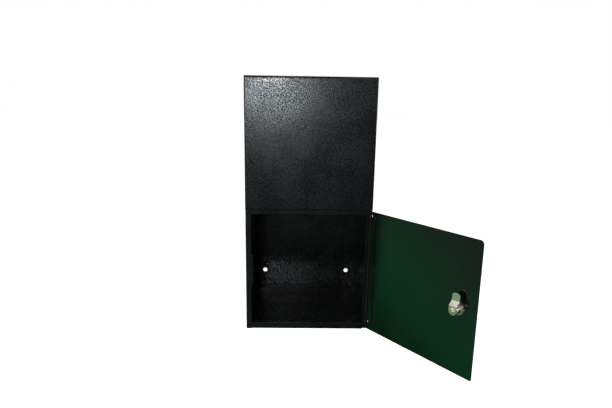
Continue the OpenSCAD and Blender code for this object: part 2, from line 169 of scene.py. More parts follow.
# %% Group: powder grain
grain_group, grain_in, grain_out = new_group("ShaderNodeTree", "powder grain", [
    ("Vector", "NodeSocketVector", None),
    ("Grain Size", "NodeSocketFloat", 1.2 * mm),
    ("Grain Depth", "NodeSocketFloat", 0.02 * mm),
    ("Peel Size", "NodeSocketFloat", 6 * mm),
    ("Peel Depth", "NodeSocketFloat", 0.02 * mm),
    ("Cloud Size", "NodeSocketFloat", 60 * mm),
], [("Height", "NodeSocketFloat"), ("Grain", "NodeSocketFloat"), ("Cloud", "NodeSocketFloat")])


def sized_noise(tree, vector, size, detail):
    """Noise whose spots are about `size` metres wide, from 0 to 1."""
    scale = calc(tree, "DIVIDE", 1.0, size)
    sockets = {"Vector": vector, "Scale": scale, "Detail": detail}
    return put(tree, "ShaderNodeTexNoise", sockets).outputs[0]


grain_noise = sized_noise(grain_group, grain_in.outputs["Vector"], grain_in.outputs["Grain Size"], 2.0)
peel_noise = sized_noise(grain_group, grain_in.outputs["Vector"], grain_in.outputs["Peel Size"], 1.0)
cloud_noise = sized_noise(grain_group, grain_in.outputs["Vector"], grain_in.outputs["Cloud Size"], 3.0)
grain_height = calc(grain_group, "MULTIPLY", grain_noise, grain_in.outputs["Grain Depth"])
peel_height = calc(grain_group, "MULTIPLY", peel_noise, grain_in.outputs["Peel Depth"])
grain_group.links.new(calc(grain_group, "ADD", grain_height, peel_height), grain_out.inputs["Height"])
grain_group.links.new(grain_noise, grain_out.inputs["Grain"])
grain_group.links.new(spread(grain_group, cloud_noise, 0.35, 0.65), grain_out.inputs["Cloud"])
print("powder grain group has", len(grain_group.nodes), "nodes")

# %% [markdown]
# Paint is thinnest on an edge and rubs off there first. The pieces carry an `edge` attribute
# that is 1 along their rounded edges, and this group breaks it up with noise, so that the wear
# comes in short runs and not as an outline.

# %% Group: edge wear
wear_group, wear_in, wear_out = new_group("ShaderNodeTree", "edge wear", [
    ("Vector", "NodeSocketVector", None),
    ("Edge", "NodeSocketFloat", 0.0),
    ("Amount", "NodeSocketFloat", 0.3),
], [("Mask", "NodeSocketFloat")])
wear_noise = sized_noise(wear_group, wear_in.outputs["Vector"], 9 * mm, 4.0)
wear_level = calc(wear_group, "SUBTRACT", 0.86, calc(wear_group, "MULTIPLY", wear_in.outputs["Amount"], 0.5))
wear_share = spread(wear_group, wear_noise, wear_level, calc(wear_group, "ADD", wear_level, 0.08))
wear_mask = calc(wear_group, "MULTIPLY", wear_share, wear_in.outputs["Edge"])
wear_group.links.new(wear_mask, wear_out.inputs["Mask"])
print("edge wear group has", len(wear_group.nodes), "nodes")

# %% [markdown]
# Dust settles on whatever faces up, in patches and specks. The mask follows the surface's own
# normal, so it stays with the piece when a body turns.

# %% Group: settled dust
dust_group, dust_in, dust_out = new_group("ShaderNodeTree", "settled dust", [
    ("Vector", "NodeSocketVector", None),
    ("Normal", "NodeSocketVector", None),
    ("Amount", "NodeSocketFloat", 0.3),
], [("Mask", "NodeSocketFloat")])
dust_up = put(dust_group, "ShaderNodeSeparateXYZ", {0: dust_in.outputs["Normal"]}).outputs["Z"]
dust_patch = spread(dust_group, sized_noise(dust_group, dust_in.outputs["Vector"], 45 * mm, 4.0), 0.35, 0.7)
dust_speck = spread(dust_group, sized_noise(dust_group, dust_in.outputs["Vector"], 2 * mm, 2.0), 0.55, 0.75)
dust_cover = calc(dust_group, "ADD", calc(dust_group, "MULTIPLY", dust_patch, 0.5), dust_speck)
dust_facing = calc(dust_group, "MULTIPLY", spread(dust_group, dust_up, 0.5, 0.95), dust_cover)
dust_mask = calc(dust_group, "MULTIPLY", dust_facing, dust_in.outputs["Amount"])
dust_group.links.new(dust_mask, dust_out.inputs["Mask"])
print("settled dust group has", len(dust_group.nodes), "nodes")

# %% [markdown]
# Handled metal is covered in fine hairline scratches. Noise squeezed hard in one direction
# gives them; two layers at different turns keep them from all running the same way.

# %% Group: hairline scratches
hair_group, hair_in, hair_out = new_group("ShaderNodeTree", "hairline scratches", [
    ("Vector", "NodeSocketVector", None),
    ("Spacing", "NodeSocketFloat", 1 * mm),
    ("Length", "NodeSocketFloat", 25.0),
], [("Mask", "NodeSocketFloat")])
hair_layers = []
for hair_turn in (0.35, 1.9):
    turned = put(hair_group, "ShaderNodeVectorRotate",
                 {"Vector": hair_in.outputs["Vector"], "Axis": (0.4, 0.5, 0.77), "Angle": hair_turn})
    stretch = put(hair_group, "ShaderNodeCombineXYZ",
                  {0: 1.0, 1: calc(hair_group, "DIVIDE", 1.0, hair_in.outputs["Length"]), 2: 1.0})
    squeezed = put(hair_group, "ShaderNodeVectorMath",
                   {0: turned.outputs[0], 1: stretch.outputs[0]}, operation="MULTIPLY")
    hair_noise = sized_noise(hair_group, squeezed.outputs[0], hair_in.outputs["Spacing"], 2.0)
    hair_layers.append(spread(hair_group, hair_noise, 0.62, 0.72))
hair_sum = calc(hair_group, "MAXIMUM", hair_layers[0], hair_layers[1])
hair_group.links.new(hair_sum, hair_out.inputs["Mask"])
print("hairline scratches group has", len(hair_group.nodes), "nodes")

# %% [markdown]
# Black powder coat. The colour is nearly black with a trace of blue; what the eye reads is the
# gloss. A rougher, grainier coat is used on the cabinet and the lid, and a smoother one on the
# door, whose inner face mirrors its surroundings. The door's colour is darker and tinted green:
# that tint is painted reflection of the green band it mirrors. `sparkle` lets the gloss follow the grain.
# Worn edges show a lighter primer, and dust greys the lid.

# %% Material: powder coat
def powder_coat(name, colour, gloss, grain_size, grain_depth, sparkle, wear, dust):
    """Painted sheet. `gloss` is the roughness of the clean coat."""
    material = bpy.data.materials.new(name)
    material.use_nodes = True
    tree = material.node_tree
    shader = tree.nodes["Principled BSDF"]
    place = put(tree, "ShaderNodeTexCoord")
    edge = put(tree, "ShaderNodeAttribute", attribute_name="edge").outputs["Fac"]
    grain = put(tree, "ShaderNodeGroup", node_tree=grain_group)
    worn = put(tree, "ShaderNodeGroup", node_tree=wear_group)
    dusty = put(tree, "ShaderNodeGroup", node_tree=dust_group)
    for group_node in (grain, worn, dusty):
        tree.links.new(place.outputs["Object"], group_node.inputs["Vector"])
    tree.links.new(place.outputs["Normal"], dusty.inputs["Normal"])
    tree.links.new(edge, worn.inputs["Edge"])
    grain.inputs["Grain Size"].default_value = grain_size
    grain.inputs["Grain Depth"].default_value = grain_depth
    grain.inputs["Peel Depth"].default_value = grain_depth * 0.6
    worn.inputs["Amount"].default_value = wear
    dusty.inputs["Amount"].default_value = dust
    lighter = [channel * 1.5 for channel in colour]
    coat = blend_colours(tree, grain.outputs["Cloud"], (*colour, 1), (*lighter, 1))
    coat = blend_colours(tree, worn.outputs["Mask"], coat, (0.16, 0.16, 0.155, 1))
    coat = blend_colours(tree, dusty.outputs["Mask"], coat, (0.23, 0.215, 0.19, 1))
    tree.links.new(coat, shader.inputs["Base Color"])
    cloudy = spread(tree, grain.outputs["Cloud"], 0.0, 1.0, gloss * 0.92, gloss * 1.12)
    speckled = calc(tree, "MULTIPLY", calc(tree, "SUBTRACT", grain.outputs["Grain"], 0.5), sparkle)
    grainy = calc(tree, "ADD", cloudy, speckled)
    dulled = calc(tree, "ADD", grainy, calc(tree, "MULTIPLY", dusty.outputs["Mask"], 0.6))
    rough = calc(tree, "ADD", dulled, calc(tree, "MULTIPLY", worn.outputs["Mask"], 0.15))
    tree.links.new(rough, shader.inputs["Roughness"])
    relief = put(tree, "ShaderNodeBump", {"Height": grain.outputs["Height"], "Distance": 1.0})
    tree.links.new(relief.outputs["Normal"], shader.inputs["Normal"])
    return material


cabinet_coat = powder_coat("cabinet powder coat", (0.0034, 0.0042, 0.0046), gloss=0.24,
                           grain_size=2.6 * mm, grain_depth=0.07 * mm, sparkle=0.55,
                           wear=0.30, dust=0.02)
lid_coat = powder_coat("lid powder coat", (0.0040, 0.0048, 0.0055), gloss=0.26,
                       grain_size=2.6 * mm, grain_depth=0.07 * mm, sparkle=0.55,
                       wear=0.35, dust=0.20)
# The door's nearly black paint carries a green tint, which is painted reflection of the green surroundings.
door_coat = powder_coat("door powder coat", (0.0018, 0.0036, 0.0026), gloss=0.17,
                        grain_size=1.2 * mm, grain_depth=0.010 * mm, sparkle=0.03,
                        wear=0.25, dust=0.03)
print("powder coats:", cabinet_coat.name, lid_coat.name, door_coat.name)

# %% [markdown]
# Plated metal. Zinc is a little cloudy and faintly yellow, the lock's nickel is brighter, and
# its wafers are brass. Metal has no colour of its own to hide behind, so its roughness carries
# the look: clouds, hairlines and a faint tarnish in patches.

# %% Material: plated metal
def plated(name, colour, tarnish, gloss):
    """Plated metal with a tarnish colour in its duller patches."""
    material = bpy.data.materials.new(name)
    material.use_nodes = True
    tree = material.node_tree
    shader = tree.nodes["Principled BSDF"]
    shader.inputs["Metallic"].default_value = 1.0
    place = put(tree, "ShaderNodeTexCoord")
    grain = put(tree, "ShaderNodeGroup", node_tree=grain_group)
    hairs = put(tree, "ShaderNodeGroup", node_tree=hair_group)
    for group_node in (grain, hairs):
        tree.links.new(place.outputs["Object"], group_node.inputs["Vector"])
    grain.inputs["Cloud Size"].default_value = 7 * mm
    grain.inputs["Grain Size"].default_value = 0.4 * mm
    grain.inputs["Grain Depth"].default_value = 0.004 * mm
    grain.inputs["Peel Depth"].default_value = 0.006 * mm
    hairs.inputs["Spacing"].default_value = 0.35 * mm
    metal = blend_colours(tree, grain.outputs["Cloud"], (*colour, 1), (*tarnish, 1))
    tree.links.new(metal, shader.inputs["Base Color"])
    cloudy = spread(tree, grain.outputs["Cloud"], 0.0, 1.0, gloss, gloss * 1.5)
    rough = calc(tree, "ADD", cloudy, calc(tree, "MULTIPLY", hairs.outputs["Mask"], 0.12))
    tree.links.new(rough, shader.inputs["Roughness"])
    relief = put(tree, "ShaderNodeBump", {"Height": grain.outputs["Height"], "Distance": 1.0})
    tree.links.new(relief.outputs["Normal"], shader.inputs["Normal"])
    return material


zinc = plated("yellow zinc plate", (0.90, 0.80, 0.68), (0.74, 0.64, 0.52), 0.36)
nickel = plated("nickel plate", (0.86, 0.86, 0.82), (0.74, 0.73, 0.67), 0.20)
brass = plated("stamped brass", (0.68, 0.50, 0.22), (0.50, 0.36, 0.17), 0.28)
black_steel = plated("blackened steel", (0.13, 0.13, 0.13), (0.05, 0.05, 0.05), 0.34)
print("plated metals:", zinc.name, nickel.name, brass.name)

# %% [markdown]
# Every finished piece is treated in the same way: it is named, takes its material, rides on a
# body, and stands for the model's own node. `settle` does all of it and reports the triangles.

# %% Helpers for finished pieces
def link(name, data):
    """An object in the scene."""
    thing = bpy.data.objects.new(name, data)
    bpy.context.scene.collection.objects.link(thing)
    return thing


def baked(thing):
    """A plain mesh of what an object looks like with its modifiers; the object goes."""
    graph = bpy.context.evaluated_depsgraph_get()
    mesh = bpy.data.meshes.new_from_object(thing.evaluated_get(graph), preserve_all_data_layers=True,
                                           depsgraph=graph)
    bpy.data.objects.remove(thing)
    return mesh


def settle(mesh, name, body, material, slot, *replaced):
    """A finished piece in its place, which stands for the named nodes."""
    mesh.materials.clear()
    mesh.materials.append(material)
    piece = link(name, mesh)
    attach(piece, body)
    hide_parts(*replaced)
    triangles = sum(len(face.vertices) - 2 for face in mesh.polygons)
    print(f"{name}: {triangles} triangles on {body}")
    return piece


# %% [markdown]
# No sheet metal edge is perfectly sharp: it is deburred and the paint rounds it. `softened`
# gives a mesh a small round along every sharp edge with the Bevel modifier, and notes in the
# `edge` attribute where that round is, which the paint reads for its wear. Weighted normals
# let the large flat faces decide the shading, or they would look pillowed beside every fold.

# %% Helper: round the edges and mark them
def softened(mesh, width, steps=2):
    """The mesh with rounded edges and an `edge` attribute of 1 along them."""
    mesh.materials.clear()
    for spare in ("flat", "round"):
        mesh.materials.append(bpy.data.materials.get(spare) or bpy.data.materials.new(spare))
    for face in mesh.polygons:
        face.use_smooth = True
        face.material_index = 0
    thing = link("being softened", mesh)
    bevel = thing.modifiers.new("round", "BEVEL")
    bevel.width = width
    bevel.segments = steps
    bevel.limit_method = "ANGLE"
    bevel.angle_limit = math.radians(32)
    bevel.use_clamp_overlap = False
    bevel.material = 1
    weighted = thing.modifiers.new("flat faces first", "WEIGHTED_NORMAL")
    weighted.weight = 100
    weighted.keep_sharp = True
    result = baked(thing)
    flat_corners = set()
    for face in result.polygons:
        if face.material_index == 0:
            flat_corners.update(face.vertices)
    edge = result.attributes.new("edge", "FLOAT", "POINT")
    for i in range(len(result.vertices)):
        edge.data[i].value = 0.0 if i in flat_corners else 1.0
    for face in result.polygons:
        face.material_index = 0
    return result


# %% [markdown]
# The model's own meshes are loose triangles. A merged copy with its flat regions joined is a
# clean base for rounding, and leaves the original untouched, as the frame requires.

# %% Helper: a merged copy of a node
def merged_copy(name):
    """One closed mesh of a node, its flat faces whole."""
    work = bmesh.new()
    work.from_mesh(nodes[name].data)
    bmesh.ops.remove_doubles(work, verts=work.verts, dist=0.001 * mm)
    bmesh.ops.dissolve_limit(work, angle_limit=math.radians(0.6), verts=work.verts, edges=work.edges)
    open_edges = sum(1 for e in work.edges if not e.is_manifold)
    mesh = bpy.data.meshes.new(name)
    work.to_mesh(mesh)
    work.free()
    if open_edges:
        print(f"{name}: {open_edges} open edges")
    return mesh


# %% [markdown]
# The cabinet's sheets keep the shape of the model. They only need soft edges and their paint.

# %% Cabinet sheets
for node_name in ("back_panel", "left_side", "right_side", "front_panel", "header_rail",
                  "top_rail", "floor_pan"):
    settle(softened(merged_copy(node_name), soft), node_name + "_sheet", "cabinet", cabinet_coat,
           "cabinet_paint", node_name)

# %% [markdown]
# The strike is a thick bar that the cam hooks behind, and the two lugs carry the hinge pins.
# They are cut from plate, so their edges are rounder than the sheet's.

# %% Strike, lugs and lid stiffener
for node_name in ("latch_strike", "upper_hinge_lug", "lower_hinge_lug"):
    settle(softened(merged_copy(node_name), 0.4 * mm, 3), node_name + "_plate", "cabinet",
           cabinet_coat, "cabinet_paint", node_name)
settle(softened(merged_copy("lid_stiffener"), soft), "lid_stiffener_angle", "lid", lid_coat,
       "lid_paint", "lid_stiffener")

# %% [markdown]
# A door or lid starts as a flat blank with holes. A 2D curve is the quickest way to make one:
# each closed spline is an outline, the inner ones become holes, and the extrusion gives the
# sheet its thickness.

# %% Helper: a flat blank
def arc(centre, radius, start, end, steps):
    """Points along an arc, with angles in degrees."""
    angles = [math.radians(start + (end - start) * i / steps) for i in range(steps + 1)]
    return [(centre[0] + radius * math.cos(a), centre[1] + radius * math.sin(a)) for a in angles]


def blank(outlines, thickness):
    """A bmesh of a flat sheet between z = 0 and its thickness, with holes."""
    curve = bpy.data.curves.new("blank", "CURVE")
    curve.dimensions = "2D"
    curve.fill_mode = "BOTH"
    curve.extrude = thickness / 2
    for outline in outlines:
        spline = curve.splines.new("POLY")
        spline.points.add(len(outline) - 1)
        for point, (x, y) in zip(spline.points, outline):
            point.co = (x, y, 0, 1)
        spline.use_cyclic_u = True
    mesh = baked(link("blank", curve))
    mesh.transform(Matrix.Translation((0, 0, thickness / 2)))
    work = bmesh.new()
    work.from_mesh(mesh)
    bmesh.ops.remove_doubles(work, verts=work.verts, dist=0.001 * mm)
    return work


# %% [markdown]
# The rolled edge is the heart of this hinge. The sheet runs on past the hinge axis, curls up
# round the pin and comes back to itself, which leaves a seam along the inner face. On the lid
# it stops there; on the door it turns once more and lies flat on the sheet as a leg. The
# section is drawn from arcs, once for both. In the helper's own axes, x runs to the roll, y
# along the hinge and z from the outer face inward.

# %% Helper: a blank with a rolled edge
curl_end = 212                      # where the lid's curl comes back to the sheet, in degrees
seam_gap = 0.06 * mm                # the leg doesn't quite touch the sheet


def curl_section(start_x, axis_x, leg):
    """Section of the sheet from where it leaves the blank to the end of its curl or leg."""
    centre = (axis_x, roll_r)
    if leg == 0:
        outer = arc(centre, roll_r, -90, curl_end, 44)
        inner = arc(centre, bore_r, curl_end, -90, 40)
    else:
        turn_r = 1.5 * mm                               # the bend from the roll to the leg
        rise = 2 * sheet + turn_r - roll_r
        reach = math.sqrt((roll_r + turn_r) ** 2 - rise ** 2)
        meet = math.degrees(math.atan2(rise, -reach))
        seam_z = sheet + seam_gap
        seam_angle = math.degrees(math.asin((seam_z - roll_r) / bore_r))
        outer = [*arc(centre, roll_r, -90, meet, 40),
                 *arc((axis_x - reach, 2 * sheet + turn_r), turn_r, meet - 180, -90, 10)[1:],
                 (axis_x - leg, 2 * sheet), (axis_x - leg, seam_z)]
        inner = arc(centre, bore_r, 180 - seam_angle, -90, 44)
    inner[-1] = (axis_x, sheet)
    return [(start_x, 0), *outer, *inner, (start_x, sheet)]


def rolled_sheet(outlines, start_x, axis_x, low_y, high_y, leg=0):
    """A flat blank whose edge at start_x carries on into a curl between two heights."""
    work = blank(outlines, sheet)
    hidden = [f for f in work.faces
              if all(abs(v.co.x - start_x) < 0.01 * mm for v in f.verts)
              and low_y < f.calc_center_median().y < high_y]
    bmesh.ops.delete(work, geom=hidden, context="FACES_ONLY")
    section = curl_section(start_x, axis_x, leg)
    rings = [[work.verts.new((x, y, z)) for x, z in section] for y in (low_y, high_y)]
    for i in range(len(section) - 1):
        work.faces.new((rings[0][i], rings[0][i + 1], rings[1][i + 1], rings[1][i]))
    work.faces.new(rings[0])
    work.faces.new(rings[1])
    bmesh.ops.remove_doubles(work, verts=work.verts, dist=0.005 * mm)
    bmesh.ops.recalc_face_normals(work, faces=work.faces)
    bmesh.ops.dissolve_limit(work, angle_limit=math.radians(0.3), verts=work.verts, edges=work.edges)
    open_edges = sum(1 for e in work.edges if not e.is_manifold)
    mesh = bpy.data.meshes.new("rolled sheet")
    work.to_mesh(mesh)
    work.free()
    print("rolled sheet:", len(mesh.polygons), "faces,", open_edges, "open edges")
    return mesh


def placed(mesh, matrix):
    """The mesh moved to its place, with its faces outward even when the matrix mirrors."""
    mesh.transform(matrix)
    if matrix.determinant() < 0:
        mesh.flip_normals()
    return mesh


# %% [markdown]
# The door blank: a plain rectangle with a large round at the upper free corner, a smaller one
# below, a hole with two flats for the lock, and a notch at each end of the curl for the lugs.
# Two small tabs of flat sheet run past the notches. All heights are measured from the bottom
# of the box.

# %% Door
door_reach = 245.5 * mm             # from the hinge axis to the free edge
low_round, high_round = 3 * mm, 7 * mm
eye_wall = 1.2 * mm                 # metal left round the pin in a lug
notch_gap = 0.5 * mm                # room round the lugs and pins
lock_inset = 35 * mm                # from the free edge to the lock
door_free_x = door_pin.x - door_reach
door_low, door_high = 1 * mm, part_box("front_panel")[0].z - box_bottom - 2 * mm
lug_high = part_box("upper_hinge_lug")[0].z - box_bottom
curl_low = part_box("hinge_washer")[1].z - box_bottom + 0.1 * mm
curl_high = lug_high - 0.3 * mm
notch_x = door_pin.x - math.sqrt((pin_r + eye_wall) ** 2 - pin_r ** 2) - notch_gap
notch_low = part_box("lower_hinge_pin")[0].z - box_bottom - notch_gap
notch_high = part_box("upper_hinge_pin")[1].z - box_bottom + notch_gap
tab_x = door_pin.x + 2 * mm
lock_x = door_free_x + lock_inset
lock_height = lock_place.translation.z - box_bottom
barrel_r = 8 * mm
barrel_flat = 7 * mm

door_outline = [
    *arc((door_free_x + low_round, door_low + low_round), low_round, 180, 270, 8),
    (tab_x, door_low), (tab_x, notch_low), (notch_x, notch_low), (notch_x, curl_low),
    (notch_x, curl_high), (notch_x, notch_high), (tab_x, notch_high), (tab_x, door_high),
    *arc((door_free_x + high_round, door_high - high_round), high_round, 90, 180, 14)]
flat_angle = math.degrees(math.asin((barrel_flat + 0.1 * mm) / (barrel_r + 0.1 * mm)))
lock_hole = [
    *arc((lock_x, lock_height), barrel_r + 0.1 * mm, -flat_angle, flat_angle, 16),
    *arc((lock_x, lock_height), barrel_r + 0.1 * mm, 180 - flat_angle, 180 + flat_angle, 16)]
roll_leg = 12.5 * mm
door_mesh = rolled_sheet([door_outline, lock_hole], notch_x, door_pin.x, curl_low, curl_high, roll_leg)
from_shut_door = swing_open @ Matrix((
    (1, 0, 0, 0),
    (0, 0, 1, door_pin.y - roll_r),
    (0, 1, 0, box_bottom),
    (0, 0, 0, 1)))
settle(softened(placed(door_mesh, from_shut_door), soft), "door_panel_sheet", "door", door_coat,
       "door_paint", "door_panel")

# %% [markdown]
# The lid is made in the same way: its rear edge is rolled round two short pins in the sides,
# and its rear corners are notched so that they clear the sides when it stands open.

# %% Lid
lid_low, lid_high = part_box("lid_panel")
lid_half = lid_high.x
lid_curl_half = lid_half - sheet - 0.6 * mm
lid_notch_y = lid_pin.y - roll_r - 1.5 * mm
lid_corner = 2 * mm
lid_outline = [
    *arc((lid_low.y + lid_corner, -lid_half + lid_corner), lid_corner, 180, 270, 6),
    (lid_notch_y, -lid_half), (lid_notch_y, -lid_curl_half), (lid_notch_y, lid_curl_half),
    (lid_notch_y, lid_half),
    *arc((lid_low.y + lid_corner, lid_half - lid_corner), lid_corner, 90, 180, 6)]
lid_mesh = rolled_sheet([lid_outline], lid_notch_y, lid_pin.y, -lid_curl_half, lid_curl_half)
from_flat_lid = Matrix((
    (0, 1, 0, 0),
    (1, 0, 0, 0),
    (0, 0, -1, lid_high.z),
    (0, 0, 0, 1)))
settle(softened(placed(lid_mesh, from_flat_lid), soft), "lid_panel_sheet", "lid", lid_coat,
       "lid_paint", "lid_panel")

# %% [markdown]
# The pins and the washer under the door keep the model's shape with rounded edges. The door's
# upper pin hangs by its head on the lug. Steel is left dark and the lid's pins are bright.

# %% Pins and the washer
for node_name in ("upper_hinge_pin", "lower_hinge_pin", "hinge_washer"):
    settle(softened(merged_copy(node_name), 0.3 * mm, 3), node_name + "_turned", "cabinet", black_steel,
           "pin_steel", node_name)
for node_name in ("lid_pin_left", "lid_pin_right"):
    settle(softened(merged_copy(node_name), 0.2 * mm), node_name + "_rivet", "cabinet", zinc,
           "zinc_plate", node_name)

# %% [markdown]
# A cam lock is nearly all turned parts. `lathe` sweeps a closed profile round the lock's axis
# and lets a rule move each point, so the same few lines make a plain head, a barrel with a
# thread and two flats, and a hexagon nut.

# %% Helper: a lathe with a rule
def lathe(profile, steps, rule=None):
    """A closed ring from (radius, z) points; rule(radius, angle, z) gives x and y."""
    work = bmesh.new()
    rings = []
    for i in range(steps):
        angle = 2 * math.pi * i / steps
        ring = []
        for radius, z in profile:
            x, y = radius * math.cos(angle), radius * math.sin(angle)
            if rule:
                x, y = rule(radius, angle, z)
            ring.append(work.verts.new((x, y, z)))
        rings.append(ring)
    for i in range(steps):
        here, there = rings[i], rings[(i + 1) % steps]
        for j in range(len(profile)):
            k = (j + 1) % len(profile)
            work.faces.new((here[j], there[j], there[k], here[k]))
    bmesh.ops.recalc_face_normals(work, faces=work.faces)
    mesh = bpy.data.meshes.new("turned")
    work.to_mesh(mesh)
    work.free()
    for face in mesh.polygons:
        face.use_smooth = True
    return mesh


# %% [markdown]
# The lock body: a low round head outside the door, and behind it a barrel whose thread is a
# helix. The radius falls and rises once for each turn, and where the barrel has its two flats
# the points are simply held back to the flat.

# %% Lock body
head_r, head_h = 11.5 * mm, 2.5 * mm
barrel_length = 15.5 * mm
plug_bore = 5.55 * mm
face_bore = 6.7 * mm
thread_pitch = 1.25 * mm
thread_depth = 0.55 * mm
head_z = -sheet - head_h


def barrel_rule(radius, angle, z):
    """Threaded round bar with two flats; the head stays round."""
    if z > -sheet and radius > plug_bore + 0.1 * mm:
        turn = (z / thread_pitch - angle / (2 * math.pi)) % 1.0
        fade = min(1.0, max(0.0, (barrel_length - z) / (0.8 * mm)))
        radius -= thread_depth * abs(2 * turn - 1) + 0.4 * mm * (1 - fade)
        return (radius * math.cos(angle),
                max(-barrel_flat, min(barrel_flat, radius * math.sin(angle))))
    return radius * math.cos(angle), radius * math.sin(angle)


thread_rings = 96
barrel_profile = [(barrel_r, -sheet + (barrel_length + sheet) * i / thread_rings)
                  for i in range(1, thread_rings + 1)]
rim = [(head_r - 1 * mm + x, head_z + 1 * mm - y) for x, y in arc((0, 0), 1 * mm, 90, 0, 6)]
body_profile = [
    (face_bore, head_z + 1.5 * mm), (face_bore, head_z + 0.15 * mm),
    (face_bore + 0.15 * mm, head_z), (9.0 * mm, head_z), (9.3 * mm, head_z + 0.25 * mm),
    (9.6 * mm, head_z), *rim, (head_r, -sheet - 0.15 * mm), (head_r - 0.15 * mm, -sheet),
    (barrel_r, -sheet), *barrel_profile, (plug_bore, barrel_length), (plug_bore, head_z + 1.5 * mm)]
lock_body_mesh = placed(lathe(body_profile, 120, barrel_rule), lock_place)
settle(lock_body_mesh, "lock_body_turned", "door", nickel, "lock_plate", "lock_body")

# %% [markdown]
# The nut is the same sweep with a rule that holds every point inside a hexagon. The corners
# are then cut by the sloping profile, which is just how a chamfered nut gets its shape.

# %% Lock nut
nut_flat, nut_corner = 10.5 * mm, 10.5 * mm / math.cos(math.radians(30))
nut_low, nut_high = 1 * mm, 5 * mm


def hexagon_rule(radius, angle, z):
    """Points held inside a hexagon with a flat at angle 0."""
    from_flat = (angle + math.pi / 6) % (math.pi / 3) - math.pi / 6
    limit = nut_flat / math.cos(from_flat)
    radius = min(radius, limit)
    return radius * math.cos(angle), radius * math.sin(angle)


nut_profile = [
    (barrel_r - 0.2 * mm, nut_low + 0.6 * mm), (barrel_r + 0.4 * mm, nut_low),
    (nut_corner - 1.5 * mm, nut_low), (nut_corner, nut_low + 0.7 * mm),
    (nut_corner, nut_high - 0.8 * mm), (nut_flat + 0.2 * mm, nut_high - 0.1 * mm),
    (nut_flat - 0.5 * mm, nut_high), (barrel_r + 0.4 * mm, nut_high),
    (barrel_r - 0.2 * mm, nut_high - 0.6 * mm)]
nut_mesh = placed(softened(lathe(nut_profile, 72, hexagon_rule), 0.12 * mm), lock_place)
settle(nut_mesh, "lock_nut_hexagon", "door", zinc, "zinc_plate", "lock_nut")

# %% [markdown]
# The washer under the nut has a ring of twisted teeth that bite into both. Teeth repeat round
# a circle, which is what Geometry Nodes are good at: one tooth, a circle of points, and an
# instance of the tooth on each point, turned outward. The tree ends with real geometry and its
# material, because instances don't survive the export.

# %% Helper: run a Geometry Nodes tree once
def grown(tree, mesh, values):
    """The plain mesh that a tree makes from a base mesh, with inputs given by name."""
    base = link("base", mesh)
    modifier = base.modifiers.new("grow", "NODES")
    modifier.node_group = tree
    for item in tree.interface.items_tree:
        if item.item_type == "SOCKET" and item.in_out == "INPUT" and item.name in values:
            modifier[item.identifier] = values[item.name]
    return baked(base)


# %% [markdown]
# The tree of the teeth. Its inputs have names, so the washer can ask for its own count, radius
# and material. A small lean about each tooth's own axis gives the teeth their twist.

# %% Geometry Nodes: a ring of teeth
tooth_tree, tooth_in, tooth_out = new_group("GeometryNodeTree", "washer teeth", [
    ("Ring", "NodeSocketGeometry", None),
    ("Count", "NodeSocketInt", 16),
    ("Radius", "NodeSocketFloat", 10.6 * mm),
    ("Tooth Size", "NodeSocketVector", (1.7 * mm, 2.0 * mm, 0.6 * mm)),
    ("Twist", "NodeSocketFloat", 0.22),
    ("Material", "NodeSocketMaterial", None),
], [("Geometry", "NodeSocketGeometry")])
tooth_circle = put(tooth_tree, "GeometryNodeMeshCircle",
                   {"Vertices": tooth_in.outputs["Count"], "Radius": tooth_in.outputs["Radius"]})
tooth_block = put(tooth_tree, "GeometryNodeMeshCube", {"Size": tooth_in.outputs["Tooth Size"]})
tooth_lean = put(tooth_tree, "ShaderNodeCombineXYZ", {0: tooth_in.outputs["Twist"]})
tooth_leant = put(tooth_tree, "GeometryNodeTransform",
                  {"Geometry": tooth_block.outputs[0], "Rotation": tooth_lean.outputs[0]})
tooth_place = put(tooth_tree, "GeometryNodeInputPosition")
tooth_way = put(tooth_tree, "FunctionNodeAlignRotationToVector",
                {"Vector": tooth_place.outputs[0]}, axis="X")
tooth_points = put(tooth_tree, "GeometryNodeInstanceOnPoints",
                   {"Points": tooth_circle.outputs[0], "Instance": tooth_leant.outputs[0],
                    "Rotation": tooth_way.outputs[0]})
tooth_join = tooth_tree.nodes.new("GeometryNodeJoinGeometry")
tooth_tree.links.new(tooth_points.outputs[0], tooth_join.inputs[0])
tooth_tree.links.new(tooth_in.outputs["Ring"], tooth_join.inputs[0])
tooth_real = put(tooth_tree, "GeometryNodeRealizeInstances", {0: tooth_join.outputs[0]})
tooth_set = put(tooth_tree, "GeometryNodeSetMaterial",
                {"Geometry": tooth_real.outputs[0], "Material": tooth_in.outputs["Material"]})
tooth_tree.links.new(tooth_set.outputs[0], tooth_out.inputs[0])


def flatted_rule(radius, angle, z):
    """The washer's hole has the two flats of the barrel."""
    x, y = radius * math.cos(angle), radius * math.sin(angle)
    if radius < barrel_r + 0.5 * mm:
        y = max(-barrel_flat - 0.1 * mm, min(barrel_flat + 0.1 * mm, y))
    return x, y


washer_profile = [(barrel_r + 0.1 * mm, 0.1 * mm), (10.2 * mm, 0.1 * mm), (10.2 * mm, 0.9 * mm),
                  (barrel_r + 0.1 * mm, 0.9 * mm)]
washer_ring = lathe(washer_profile, 64, flatted_rule)
washer_ring.transform(Matrix.Translation((0, 0, -0.5 * mm)))
toothed = grown(tooth_tree, washer_ring, {"Count": 18, "Radius": 10.45 * mm, "Material": zinc})
toothed.transform(Matrix.Translation((0, 0, 0.5 * mm)))
settle(placed(softened(toothed, 0.08 * mm), lock_place), "lock_nut_washer_toothed", "door", zinc,
       "zinc_plate", "lock_nut_washer")

# %% [markdown]
# The plug, its wafers, the stop washer and the cam are flat stampings and castings. The model
# has their real shape, so they only need their small edge rounds.

